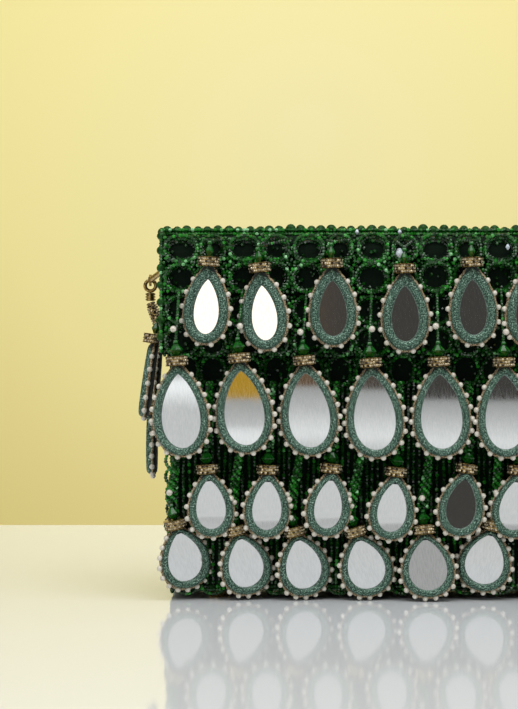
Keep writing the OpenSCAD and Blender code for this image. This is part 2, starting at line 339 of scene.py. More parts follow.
def poses(points, axes, radius, half_length, spin=0.0):
    """Matrices that stand a unit solid at each point, its Z along axes, scaled to radius and half_length."""
    axes = unit(axes)
    across = np.cross(axes, [0.13, 0.21, 0.97])
    weak = np.linalg.norm(across, axis=1) < 0.2
    across[weak] = np.cross(axes[weak], [0.0, 1.0, 0.1])
    across = unit(across)
    third = np.cross(axes, across)
    c, s = np.cos(spin), np.sin(spin)
    c, s = np.reshape(c, (-1, 1)), np.reshape(s, (-1, 1))
    across, third = across * c + third * s, third * c - across * s
    made = np.zeros((len(points), 4, 4))
    made[:, :3, 0] = across * np.reshape(radius, (-1, 1))
    made[:, :3, 1] = third * np.reshape(radius, (-1, 1))
    made[:, :3, 2] = axes * np.reshape(half_length, (-1, 1))
    made[:, :3, 3] = points
    made[:, 3, 3] = 1
    return made


def spaced(path, pitch, closed=False):
    """Points a pitch apart along a path, and its directions there."""
    path = np.asarray(path, float)
    if closed:
        path = np.vstack([path, path[:1]])
    steps = np.linalg.norm(np.diff(path, axis=0), axis=1)
    along = np.concatenate([[0], np.cumsum(steps)])
    number = max(int(round(along[-1] / pitch)), 2)
    wanted = (np.arange(number) + 0.5) * along[-1] / number
    near = along[-1] * 0.002
    points, ahead, behind = (np.stack([np.interp(place, along, path[:, k]) for k in range(3)], 1)
                             for place in (wanted, wanted + near, wanted - near))
    return points, ahead - behind


# Painted highlights on the seed beads:
PAINTED_GLINT_SHARE = 0.1             # of the beads get a painted highlight
PAINTED_GLINT_STEP = 0.42             # and are painted this much lighter in tone


def string_beads(pile, path, size, rng, tone, closed=False):
    """Threads seed beads of size (diameter, length) along a path."""
    points, ways = spaced(path, size[1], closed)
    tones = rng.uniform(tone[0], tone[1], len(points))
    # Painted highlight: a share of the beads is raised in tone, towards the near-white top of the glass
    # colours.
    tones[rng.random(len(points)) < PAINTED_GLINT_SHARE] += PAINTED_GLINT_STEP
    radius = size[0] / 2 * rng.uniform(0.9, 1.06, len(points))
    spin = rng.uniform(0, math.pi, len(points))
    pile.add(BARREL, poses(points, ways, radius, size[1] * 0.5, spin), tones=tones)


# ---- the faces that netting lies on ----

class Side:
    """A flat face of the bag: u runs along it, v runs up from the ground and w stands out of it."""

    def __init__(self, face, along, out):
        self.face, self.along, self.out = Vector(face), Vector(along), Vector(out)

    def at(self, uvw):
        uvw = np.atleast_2d(uvw)
        basis = np.array([self.along, UP, self.out])
        return np.array(self.face) + uvw @ basis


class Roll:
    """The flap's outer face: v runs up its front, round its rolled edge and over its top."""

    def __init__(self, low, high, radius):
        self.front, self.low, self.radius = low.y, low.z, radius
        self.bend = high.z - radius - low.z
        self.over = self.bend + radius * math.pi / 2
        self.end = self.over + high.y - (low.y + radius)

    def at(self, uvw):
        uvw = np.atleast_2d(np.asarray(uvw, float))
        u, v, w = uvw.T
        angle = np.clip((v - self.bend) / self.radius, 0, math.pi / 2)
        reach = self.radius + w
        y = self.front + self.radius - reach * np.cos(angle) + np.maximum(v - self.over, 0)
        z = self.low + np.minimum(v, self.bend) + reach * np.sin(angle)
        return np.stack([u, y, z], 1)


SQUARENESS = 2.2              # 2 would make the rings of beads round, more makes them squarer
STEP_OUT = 0.75               # how far each layer of rings stands off the one below, in bead diameters
KNOT_PITCH = 0.86             # distance between the beads of a knot, in bead diameters
STRAY_SHARE = 0.16            # of the knot beads that fall inside a ring stay there
PAINTED_GLINT_KNOTS = 0.11           # of the knot beads get a painted highlight


def oval(u, v, half_u, half_v, w, steps=40):
    """A rounded-square loop of (u, v, w) points."""
    t = np.arange(steps) * 2 * math.pi / steps
    c, s = np.cos(t), np.sin(t)
    k = 2 / SQUARENESS
    loop_u = u + half_u * np.sign(c) * np.abs(c) ** k
    loop_v = v + half_v * np.sign(s) * np.abs(s) ** k
    return np.stack([loop_u, loop_v, np.full(steps, w)], 1)


def line(start, end, steps=12):
    """Points on a straight line."""
    t = np.linspace(0, 1, steps)[:, None]
    return np.asarray(start) * (1 - t) + np.asarray(end) * t


def porthole_net(pile, side, columns, rows, bag, rng, layers, tone):
    """Rings of beads in rows and columns, and the knots of beads that fill the places between them."""
    size = (bag.bead_diameter, bag.bead_pitch)
    low, high = tone
    for v, half_v in rows:
        for u, half_u in columns:
            du, dv, wide, tall = rng.uniform(-0.3, 0.3, 4) * MM
            for k in range(layers):
                shrink = k * 0.32 * bag.bead_diameter
                w = bag.bead_diameter * (0.5 + STEP_OUT * (layers - 1 - k))
                loop = side.at(oval(u + du, v + dv, half_u + wide - shrink, half_v + tall - shrink, w))
                # Painted shade: each layer of rings nearer the board is darker in tone.
                string_beads(pile, loop, size, rng, (low - 0.1 * k, high - 0.18 * k), closed=True)
    ends = [columns[0][0] - columns[0][1], columns[-1][0] + columns[-1][1]]
    lift = [rows[0][0] - rows[0][1], rows[-1][0] + rows[-1][1]]
    knots(pile, side, columns, rows, (ends, lift), bag, rng, 0.5 + STEP_OUT * (layers - 1), tone)


def knots(pile, side, columns, rows, limits, bag, rng, depth, tone):
    """Beads heaped between the rings, up to depth bead diameters off the board."""
    pitch = bag.bead_diameter * KNOT_PITCH
    (u0, u1), (v0, v1) = limits
    u, v = np.meshgrid(np.arange(u0, u1, pitch), np.arange(v0, v1, pitch))
    u, v = (x.ravel() + rng.uniform(-0.4, 0.4, x.size) * pitch for x in (u, v))
    nearest = np.full(u.shape, np.inf)
    for at_v, half_v in rows:
        for at_u, half_u in columns:
            ring = np.abs((u - at_u) / half_u) ** SQUARENESS + np.abs((v - at_v) / half_v) ** SQUARENESS
            nearest = np.minimum(nearest, ring)
    free = (nearest > 1.0) | (rng.random(u.size) < STRAY_SHARE)
    u, v, ring = u[free], v[free], nearest[free]
    w = bag.bead_diameter * np.where(ring > 1, 0.5 + (depth - 0.3) * rng.random(len(u)) ** 0.6, 0.4)
    points = side.at(np.stack([u, v, w], 1))
    radius = bag.bead_diameter / 2 * rng.uniform(0.85, 1.1, len(u))
    # Painted highlight: a share of the knot beads is raised in tone.
    tones = rng.uniform(tone[0], tone[1], len(u)) + PAINTED_GLINT_STEP * (rng.random(len(u)) < PAINTED_GLINT_KNOTS)
    # Painted shade: the stray beads sunk inside a ring are darkened to 0.4 of their tone, so the holes look
    # dark.
    tones = np.where(ring > 1, tones, tones * 0.4)
    ways = rng.normal(size=points.shape)
    pile.add(BARREL, poses(points, ways, radius, radius * 0.8), 0, tones)


def net_columns(bag, edge):
    """(place, half width) of each ring column: a wide one over each long drop, a narrow one between."""
    xs = sorted(JOINTS[name]["pos_m"][0] for name in JOINTS if name.startswith(("row1_", "row2_")))
    long_xs = {round(JOINTS[name]["pos_m"][0], 5) for name in JOINTS if name.startswith("row2_")}
    found = []
    for x in xs:
        half = bag.wide_ring / 2 if round(x, 5) in long_xs else bag.narrow_ring / 2
        if abs(x) + half > edge:
            half = bag.narrow_ring / 2
            x = math.copysign(edge - half, x)
        found.append((x, half))
    return found


# ---- settings ----

def length(label, what, metres):
    """A setting that is a length."""
    return bpy.props.FloatProperty(name=label, description=what, default=metres, unit="LENGTH")


class BagNetSettings(bpy.types.PropertyGroup):
    """Sizes of the bead netting."""
    bead_diameter: length("Bead diameter", "Outside diameter of a seed bead", 1.45 * MM)
    bead_pitch: length("Bead pitch", "Distance between beads on a thread", 1.12 * MM)
    wide_ring: length("Wide ring", "Width of a ring over a long drop", 10.8 * MM)
    narrow_ring: length("Narrow ring", "Width of a ring between long drops", 8.4 * MM)
    ring_height: length("Ring height", "Height of each ring", 9.6 * MM)
    row_pitch: length("Row pitch", "Distance between rows of rings", 11 * MM)
    edge_roll: length("Edge roll", "Radius of the flap's rolled front edge", 5.8 * MM)
    crest_bead: length("Crest bead", "Diameter of the beads along the top edge", 3.6 * MM)


class BagDropSettings(bpy.types.PropertyGroup):
    """Sizes of the hanging drops."""
    pearl: length("Pearl", "Diameter of the pearls round a drop", 1.95 * MM)
    cord: length("Edge cord", "Diameter of the metallic cord round a drop", 1.1 * MM)
    wrap: length("Wrap pitch", "Distance between turns of the wrapped thread", 0.6 * MM)
    stone: length("Stone", "Diameter of the stones on rondelles and handle", 0.95 * MM)
    fullness: bpy.props.FloatProperty(name="Pear fullness", description="How straight the pear's flanks are",
                                      default=0.54, min=0.4, max=1.2, subtype="FACTOR")


class BagStageSettings(bpy.types.PropertyGroup):
    """The studio: table, backdrop, lights and camera."""
    eye: bpy.props.FloatVectorProperty(name="Eye", description="Where the camera stands",
                                       default=(-0.061, -0.735, 0.085), subtype="TRANSLATION", unit="LENGTH")
    lens: bpy.props.FloatProperty(name="Lens", description="Focal length", default=103.8, unit="CAMERA")
    table_back: length("Table back", "Where the table ends behind the bag", 0.284)
    table_front: length("Table front", "Where the table ends before the bag", -2.85)
    table_colour: bpy.props.FloatVectorProperty(name="Table colour", description="Colour of the table top",
                                                default=srgb("#eef1f4"), size=4, subtype="COLOR")


# ---- mirror drops ----

# How each drop hangs, row by row from the left: sideways shift and lift in millimetres, then turn to its own
# right, lean and tip in degrees. The rows repeat from their start when a list is shorter than its row.
HANG = {
    1: [(-0.8, 1.0, -15, -3.7, 0.0), (-6.4, -1.2, -15, 5.6, 0.0), (-3.3, 0.4, -3, 1.5, 0.2),
        (-0.3, -1.4, 0, 1.0, 0.3), (0.6, 0.8, 1, 2.0, 0.3), (-0.6, 0.2, 4, -2.0, 0.2),
        (0.5, -0.8, 2, 1.5, 0.2), (0.0, 0.6, 8, -1.5, 0.0)],
    2: [(-1.5, -0.2, -13, 3.6, 1.1), (-2.3, 0.8, -10, 5.0, 0.05), (-2.1, 0.0, -5, 5.0, 0.3),
        (-1.2, -0.8, -4, 4.0, 0.25), (0.2, -0.4, 0, 3.0, 0.08), (0.6, -0.6, 3, 2.0, 0.05),
        (0.4, 0.2, 2, 1.0, -0.1), (0.0, -0.3, 6, -1.0, 0.1), (-0.4, 0.4, 12, 1.0, 0.0)],
    3: [(-2.4, 0.4, 5, 5.0, 0.5), (-2.8, 0.2, 5, -1.8, 0.3), (-2.6, 0.6, 12, -6.0, 0.2),
        (-2.1, -0.6, 3, -6.5, 0.2), (0.5, 0.4, 0, -9.0, -2.6), (-4.0, 0.0, -4, -6.0, 0.2),
        (-2.0, 0.4, 5, -2.0, 0.2), (0.4, -0.2, 10, 1.5, 0.0)],
    4: [(-3.4, 2.2, 22, 17.0, 0.5), (-4.3, 0.2, 18, 16.0, 0.5), (-6.2, -0.2, 15, 15.0, 0.5),
        (-7.6, -0.4, 6, 17.0, 0.3), (-4.5, 0.3, -3, 5.0, -6.0), (-0.8, 1.6, -8, -12.9, 0.3),
        (-1.0, 0.4, -4, 6.0, 0.2), (-2.0, 0.3, 5, 8.0, 0.2), (-1.5, 0.4, -8, 4.0, 0.0)],
}
RIM_BAND = {1: 3.1 * MM, 2: 2.4 * MM, 3: 2.4 * MM, 4: 2.2 * MM}
TOP_GAP = {1: 4.4 * MM, 2: 2.9 * MM, 3: 2.0 * MM, 4: 1.7 * MM}
FULLER = {1: 0.0, 2: 0.8 * MM, 3: 0.0, 4: 1.0 * MM}
PEARL_PITCH = {1: 4.8 * MM, 2: 3.8 * MM, 3: 3.8 * MM, 4: 3.3 * MM}
DROP_THICK = 3.6 * MM
MIRROR_SET = 2.3 * MM
RONDELLE_R = 4.1 * MM
RONDELLE_T = 3.4 * MM
CRYSTAL_R = 2.0 * MM
RONDELLE_DROP = 6.5 * MM      # from the hanging line to the middle of the rondelle
APEX_DROP = 9.25 * MM         # from the hanging line to the point of the pear
RISE = 1.2 * MM               # how far the padding is drawn up under its rondelle
NECK = ((1.7, 0), (1.9, 0.3), (2.3, 0.6), (2.7, 1))    # radius in millimetres, down the felt neck
MIRROR_THICK = 0.8 * MM
THIRD_ROW_LIFT = 2.3 * MM     # the third row stands forward of the rondelles below it


def hangings(*rows):
    """The name, joint, row, number and hang of each drop in these rows."""
    for name, joint in JOINTS.items():
        if name.startswith("row") and int(name[3]) in rows:
            row, number = int(name[3]), int(name.split("_")[2])
            yield name[:-len("_swing")], joint, row, number, HANG[row][(number - 1) % len(HANG[row])]


def pear(width, height, fullness, t):
    """Points (x, z) of a pear outline that hangs from its point at the origin, for t from 0 to 2 pi."""
    turn = np.sin(t) * np.abs(np.sin(t / 2)) ** fullness
    probe = np.linspace(0, math.pi, 400)
    most = np.max(np.sin(probe) * np.sin(probe / 2) ** fullness)
    return np.stack([turn * width / 2 / most, -height * (1 - np.cos(t)) / 2], 1)


def even_pear(width, height, fullness, number):
    """The same outline with its points evenly spaced, starting at the point."""
    dense = pear(width, height, fullness, np.linspace(0, 2 * math.pi, 1500))
    steps = np.linalg.norm(np.diff(dense, axis=0), axis=1)
    along = np.concatenate([[0], np.cumsum(steps)])
    wanted = np.arange(number) * along[-1] / number
    return np.stack([np.interp(wanted, along, dense[:, k]) for k in (0, 1)], 1), along[-1]


def outward(outline):
    """Unit normals of a closed outline, pointing away from it."""
    way = np.roll(outline, -1, 0) - np.roll(outline, 1, 0)
    normal = unit(np.stack([-way[:, 1], way[:, 0]], 1))
    if np.sum(normal * (outline - outline.mean(0))) < 0:
        normal = -normal
    return normal


def upright(outline, y):
    """Outline points (x, z) set upright at depth y."""
    return np.stack([outline[:, 0], np.broadcast_to(y, (len(outline),)), outline[:, 1]], 1)


def rim_shape(width, height, band, gap, drops):
    """The padded rim: a half-round band whose surface is ridged by the turns of its thread."""
    per_turn = 3
    _, girth = even_pear(width, height, drops.fullness, 60)
    turns = int(girth / drops.wrap)
    outer, _ = even_pear(width, height, drops.fullness, turns * per_turn)
    inner_h = height - gap - band
    inner, _ = even_pear(width - 2 * band, inner_h, drops.fullness, turns * per_turn)
    inner = inner - [0, gap]
    ridge = np.tile([0.0, 0.07 * MM, 0.07 * MM], turns)
    normal = outward(outer)
    rings = []
    for a in np.linspace(-0.25, 1.2, 11) * math.pi:
        across = (1 + math.cos(a)) / 2
        swell = max(math.sin(a), 0.0)
        middle = inner * (1 - across) + outer * across
        flat = middle + normal * (ridge * math.cos(a))[:, None]
        y = -DROP_THICK / 2 * math.sin(a) * (1.0 if a > 0 else 0.8)
        rings.append(upright(flat, y - ridge * swell))
    return lofted(rings, closed_across=True)


def slab_shape(width, height, drop, depths, edge, fullness, number):
    """A pear-shaped slab with softened edges between two depths."""
    y0, y1 = depths
    outline, _ = even_pear(width, height, fullness, number)
    outline = outline - [0, drop]
    inset = outline - outward(outline) * edge
    return lofted([upright(inset, y1), upright(outline, y1 - edge), upright(outline, y0 + edge),
                   upright(inset, y0)])


def cord_shape(width, height, drops):
    """A two-ply cord round the drop's edge, just behind its middle."""
    outline, girth = even_pear(width, height, drops.fullness, 150)
    normal = outward(outline)
    radius = drops.cord / 2
    turns = round(girth / (2.4 * drops.cord))
    along = np.arange(150) * 2 * math.pi * turns / 150 / 2
    rings = []
    for a in np.arange(6) * math.pi / 3:
        twist = 1 + 0.22 * np.cos(2 * (a + along))
        flat = outline + normal * (radius * 0.5 + radius * math.cos(a) * twist)[:, None]
        rings.append(upright(flat, 0.5 * MM + radius * math.sin(a) * twist))
    return lofted(rings, closed_across=True)


def drop_meshes(row, width, height, drops, rng):
    """The meshes that all drops of a row share: rim, mirror, pearled edge and head."""
    band, gap = RIM_BAND[row], TOP_GAP[row]
    name = f"row{row}_drop"
    lift = THIRD_ROW_LIFT if row == 3 else 0.0
    body = np.eye(4)
    body[:3, 3] = (0, -lift, RISE - APEX_DROP)
    body = body[None]
    rim = Pile()
    rim.add(rim_shape(width, height, band, gap, drops), body, 0)
    rim.add(slab_shape(width - 0.6 * MM, height - 0.6 * MM, 0.2 * MM, (0.9 * MM, DROP_THICK / 2), 0.4 * MM,
                       drops.fullness, 72), body, 1)
    neck_top = -RONDELLE_DROP - RONDELLE_T / 2
    start, end = np.array([0, -0.2 * lift, neck_top + 0.3 * MM]), np.array([0, -lift, -APEX_DROP - 0.8 * MM])
    neck = turned([(r * MM, t) for r, t in NECK], 18)
    flat_neck = poses(start[None], (end - start)[None], 1.0, np.linalg.norm(end - start))
    flat_neck[:, 1, 0:2] *= 0.6
    rim.add(neck, flat_neck, 1)
    glass = Pile()
    front = -DROP_THICK / 2 + MIRROR_SET
    glass.add(slab_shape(width - 1.7 * band, height - gap - 0.7 * band, gap - 0.15 * band,
                         (front, front + MIRROR_THICK), 0.08 * MM, drops.fullness, 96), body, 0)
    edge = Pile()
    edge.add(cord_shape(width, height, drops), body, 0)
    _, girth = even_pear(width, height, drops.fullness, 60)
    number = int(round(girth / PEARL_PITCH[row]))
    pearled_width = width + drops.cord * 1.3 + drops.pearl * 0.3
    pearled_height = height + drops.cord + drops.pearl * 0.1
    outline, _ = even_pear(pearled_width, pearled_height, drops.fullness, number * 8)
    spots = upright(outline[4::8] + [0, 0.3 * drops.pearl], 0.35 * MM)
    spots = spots[spots[:, 2] < -0.08 * height] + body[0, :3, 3]
    holes = np.tile([0.2, 1.0, 0.1], (len(spots), 1))
    edge.add(BALL, poses(spots, holes, drops.pearl / 2, drops.pearl / 2), 1)
    head = Pile()
    add_rondelle(head, (0, 0, -RONDELLE_DROP), drops, rng)
    crystal = np.array([[0, 0, -0.75 * MM - CRYSTAL_R]])
    wide = CRYSTAL_R * (0.7 if row == 1 else 1.2)
    head.add(BICONE, poses(crystal, np.array([[0, 0, 1.0]]), wide, CRYSTAL_R), 2, 0.5)
    tube = ((0.45, -0.8), (0.7, -0.5), (0.7, 0.5), (0.45, 0.8))
    loop = turned([(r * MM, z * MM) for r, z in tube], 10)
    head.add(loop, poses(np.zeros((1, 3)), np.array([[1.0, 0, 0]]), 1.0, 1.0), 2, 0.5)
    return {
        "rim": rim.mesh(name + "_rim", ["sage_metallic_thread", "dark_felt"], smooth=True),
        "mirror": glass.mesh(name + "_mirror", ["silvered_mirror"]),
        "edge": edge.mesh(name + "_edge", ["zari_cord", "pearl_lustre"], smooth=True),
        "head": head.mesh(name + "_head", ["gilt_brass", "rhinestone_foil", "green_crystal"]),
    }


def add_rondelle(pile, centre, drops, rng):
    """A stone-set rondelle: a gilt drum between two beaded flanges, with two staggered rings of stones."""
    r, t = RONDELLE_R, RONDELLE_T / 2
    flange, waist, shoulder = r - 0.1 * MM, r - 0.5 * MM, r - 0.8 * MM
    drum = turned([(1.0 * MM, -t * 0.9), (shoulder, -t), (flange, -t * 0.96), (flange, -t * 0.88),
                   (waist, -t * 0.8), (waist, t * 0.8), (flange, t * 0.88), (flange, t * 0.96),
                   (shoulder, t), (1.0 * MM, t * 0.9)], 28)
    place = np.eye(4)
    place[:3, 3] = centre
    pile.add(drum, place[None], 0, 0.5)
    around = 27
    for k, z in enumerate((-0.6 * t, 0, 0.6 * t)):
        angles = (np.arange(around) + 0.5 * k) * 2 * math.pi / around
        out = np.stack([np.cos(angles), np.sin(angles), np.zeros(around)], 1)
        spots = np.array(centre) + out * (r - 0.45 * MM) + [0, 0, z]
        tilt = out + rng.uniform(-0.25, 0.25, out.shape)
        # Each stone's random tone is its painted glint.
        pile.add(STONE, poses(spots, tilt, drops.stone / 2, 0.4 * MM), 1, rng.random(around))


def drop_place(joint, dx, dz, turn, lean, tip):
    """Where a drop hangs: its shift and angles about its own hanging point."""
    spin = Matrix.Rotation(math.radians(turn), 4, "Z")
    sway = Matrix.Rotation(math.radians(-lean), 4, "Y")
    level = math.sin(math.radians(turn)) * math.sin(math.radians(lean))
    nod = Matrix.Rotation(math.radians(tip) + level, 4, "X")
    return Matrix.Translation(Vector(joint["pos_m"]) + Vector((dx * MM, 0, dz * MM))) @ sway @ spin @ nod


class BAG_OT_mirror_drops(bpy.types.Operator):
    """Hangs the rows of pear-shaped mirror drops on the front and the sides"""
    bl_idname = "evening_bag.mirror_drops"
    bl_label = "Mirror Drops"

    def execute(self, context):
        drops = context.scene.bag_drops
        rng = np.random.default_rng(SEED)
        meshes = {}
        for row in (1, 2, 3, 4):
            low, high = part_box(f"row{row}_drop_1")
            height = JOINTS[f"row{row}_drop_1_swing"]["pos_m"][2] - APEX_DROP + RISE - low.z
            meshes[row] = drop_meshes(row, high.x - low.x + FULLER[row], height, drops, rng)
        for name, joint, row, _, hang in hangings(1, 2, 3, 4):
            self.hang(name, meshes[row], drop_place(joint, *hang))
        for side, sign in (("left", -1), ("right", 1)):
            face = Matrix.Rotation(math.radians(90 * sign), 4, "Z")
            upper, lower = f"{side}_side_upper_drops", f"{side}_side_lower_drop"
            low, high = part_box(upper)
            reach = (high.y - low.y) / 2 - (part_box("row1_drop_1")[1].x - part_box("row1_drop_1")[0].x) / 2
            for k, y in enumerate((-reach, reach)):
                place = Matrix.Translation(Vector(JOINTS[upper + "_swing"]["pos_m"]) + Vector((0, y, 0)))
                flare = Matrix.Rotation(math.radians((-8, -5)[k]), 4, "X")
                self.hang(f"{side}_side_upper_drop_{k + 1}", meshes[1], place @ face @ flare, upper)
            place = Matrix.Translation(Vector(JOINTS[lower + "_swing"]["pos_m"]))
            self.hang(f"{side}_side_lower_drop_1", meshes[3], place @ face, lower)
        return {"FINISHED"}

    @staticmethod
    def hang(name, meshes, place, body=None):
        """Puts up one drop; unless a body is given, it rides on the body of its own name."""
        body = body or name
        for part, mesh in meshes.items():
            put(f"{name}_{part}", mesh, body, [body] if part == "rim" else (), place)


# ---- netting ----

def twisted_rope(pile, top, bottom, size, rng, thick, tone):
    """Three strings of beads twisted together between two points, thicker towards the bottom."""
    t = np.linspace(0, 1, 40)[:, None]
    top, bottom = np.array(top), np.array(bottom)
    spine = top * (1 - t) + bottom * t
    turns = np.linalg.norm(bottom - top) / (7 * MM)
    for k in range(3):
        a = 2 * math.pi * (turns * t + k / 3)
        reach = thick * (0.6 + 0.8 * t)
        path = spine + np.concatenate([np.cos(a) * reach, np.sin(a) * reach, np.zeros_like(a)], 1)
        string_beads(pile, path, size, rng, tone)


class BAG_OT_body_net(bpy.types.Operator):
    """Covers the body's front, back and sides with ring netting and its scalloped lower edge"""
    bl_idname = "evening_bag.body_net"
    bl_label = "Body Netting"

    def execute(self, context):
        bag = context.scene.bag_net
        rng = np.random.default_rng(SEED + 1)
        low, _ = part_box("front_panel")
        _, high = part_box("back_panel")
        net_low, net_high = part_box("front_bead_net")
        half = bag.ring_height / 2
        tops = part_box("back_bead_net")[1].z
        first = net_low.z + half + 0.9 * MM
        rows = [(first + k * bag.row_pitch, half) for k in range(int((tops - first) / bag.row_pitch) + 1)]
        edge = net_high.x
        columns = net_columns(bag, edge)
        front = Side((0, low.y, 0), (1, 0, 0), (0, -1, 0))
        back = Side((0, high.y, 0), (-1, 0, 0), (0, 1, 0))
        flap_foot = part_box("flap_board")[0].z
        belt = [(flap_foot - 5.6 * MM, half)]
        faces = {"front": (front, columns, belt, "front_bead_net"),
                 "back": (back, columns, rows, "back_bead_net")}
        depth = high.y - low.y
        step = depth / 4
        side_columns = [(-depth / 2 + step * (k + 0.5), step / 2 - 0.7 * MM) for k in range(4)]
        for side_name, sign in (("left", -1), ("right", 1)):
            face = Side((sign * (edge + 0.1 * MM), 0, 0), (0, sign, 0), (sign, 0, 0))
            faces[side_name] = (face, side_columns, rows, "side_bead_nets")
        for name, (side, cols, lines, node) in faces.items():
            pile = Pile()
            porthole_net(pile, side, cols, lines, bag, rng, 1, (0.12, 0.5))
            if name == "front":
                self.fall(pile, side, edge, net_low.z, lines[0][0] - half, bag, rng)
                self.hidden_rows(side, cols, lines[0][0] + bag.row_pitch, tops, bag, rng)
                ropes = Pile()
                self.scallops(ropes, side, cols, net_low.z, bag, rng)
                self.strands(ropes, bag, rng)
                self.edging(ropes, edge, low.y, flap_foot - 8 * MM, bag, rng)
                ropes.put("front_bead_ropes", ["green_seed_glass", "pearl_lustre"], "root", "glass_beads",
                          ["base_bead_fringe"])
            else:
                self.scallops(pile, side, cols, net_low.z, bag, rng)
            pile.put(f"{name}_bead_netting", ["green_seed_glass"], "root", "glass_beads", [node])
        return {"FINISHED"}

    @staticmethod
    def hidden_rows(side, columns, first, top, bag, rng):
        """The rows of rings that the closed flap hides, left open round the magnet."""
        half = bag.ring_height / 2
        number = int((top - half - first) / bag.row_pitch) + 1
        rows = [(first + k * bag.row_pitch, half) for k in range(number)]
        clear = (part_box("magnet_socket")[1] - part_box("magnet_socket")[0]).x / 2 + 2 * MM
        pile = Pile()
        for sign in (-1, 1):
            part = [c for c in columns if sign * c[0] - c[1] > clear]
            porthole_net(pile, side, part, rows, bag, rng, 1, (0.12, 0.5))
        pile.put("front_upper_netting", ["green_seed_glass"], "root", "glass_beads")

    @staticmethod
    def fall(pile, side, edge, bottom, top, bag, rng):
        """Close upright strings of beads that cover the front below the flap."""
        size = (bag.bead_diameter * 1.05, bag.bead_pitch * 1.1)
        gap, steps = 2.05 * MM, 14
        for k in range(int(2 * edge / gap)):
            u = -edge + gap * (k + 0.6)
            depth = (0.55 + 0.35 * (k % 2)) * size[0]
            t = np.linspace(0, 1, steps)
            sway = np.cumsum(rng.normal(0, 0.16, steps)) * MM
            path = np.stack([u + sway - sway.mean(), bottom + (top - bottom) * t, np.full(steps, depth)], 1)
            string_beads(pile, side.at(path), size, rng, (0.0, 0.36))

    @staticmethod
    def scallops(pile, side, columns, top, bag, rng):
        """Loops of beads that hang below the netting, almost to the ground."""
        size = (bag.bead_diameter, bag.bead_pitch)
        t = np.linspace(0, math.pi, 16)
        fall = 0.85 * (top - 1.2 * MM)
        for u, half_u in columns:
            loop = np.stack([u + half_u * np.cos(t), top - fall * np.sin(t), np.full(16, size[0] * 0.6)], 1)
            string_beads(pile, side.at(loop), size, rng, (0.1, 0.4))
        ends = columns[0][0] - columns[0][1], columns[-1][0] + columns[-1][1]
        for v in (top - 0.9 * MM, top - 2.0 * MM):
            hem = line((ends[0], v, size[0] / 3), (ends[1], v, size[0] / 3))
            string_beads(pile, side.at(hem), size, rng, (0.0, 0.25))

    @staticmethod
    def edging(pile, edge, face_y, top, bag, rng):
        """Small loops of beads that stand out along the two upright front edges."""
        size = (bag.bead_diameter, bag.bead_pitch)
        t = np.linspace(-0.5, 0.5, 12) * math.pi
        first, pitch, half_height = 9 * MM, 5.6 * MM, 2.9 * MM
        for sign in (-1, 1):
            for z in np.arange(first, top, pitch):
                reach = rng.uniform(1.6, 3.0) * MM
                loop = np.stack([sign * (edge + 0.6 * MM + reach * np.cos(t)),
                                 face_y - 0.4 * MM + 0.8 * MM * np.sin(t),
                                 z + half_height * np.sin(t)], 1)
                string_beads(pile, loop, size, rng, (0.1, 0.7))

    @staticmethod
    def strands(pile, bag, rng):
        """The beaded ropes that the lower rows hang from, each ending in a pearl or a knot of beads."""
        size = (bag.bead_diameter * 0.9, bag.bead_pitch * 0.9)
        for _, joint, row, _, (dx, dz, *_) in hangings(3, 4):
            x, y, z = joint["pos_m"]
            end = (x + dx * MM, y + 0.3 * MM, z + dz * MM + 0.9 * MM)
            start = (x + dx * 0.4 * MM, y + 2.2 * MM, z + (24 if row == 3 else 22) * MM)
            twisted_rope(pile, start, end, size, rng, 1.25 * MM, (0.15, 0.7))
            string_beads(pile, line(start, end), (size[0] * 1.5, size[1] * 1.3), rng, (0.2, 0.6))
            if row == 4:
                spot = np.array([[x + (dx - 0.4) * MM, y - 2.3 * MM, z + (dz + 4.6) * MM]])
                pile.add(BALL, poses(spot, np.array([[0.1, 1, 0.2]]), 1.1 * MM, 1.1 * MM), 1)


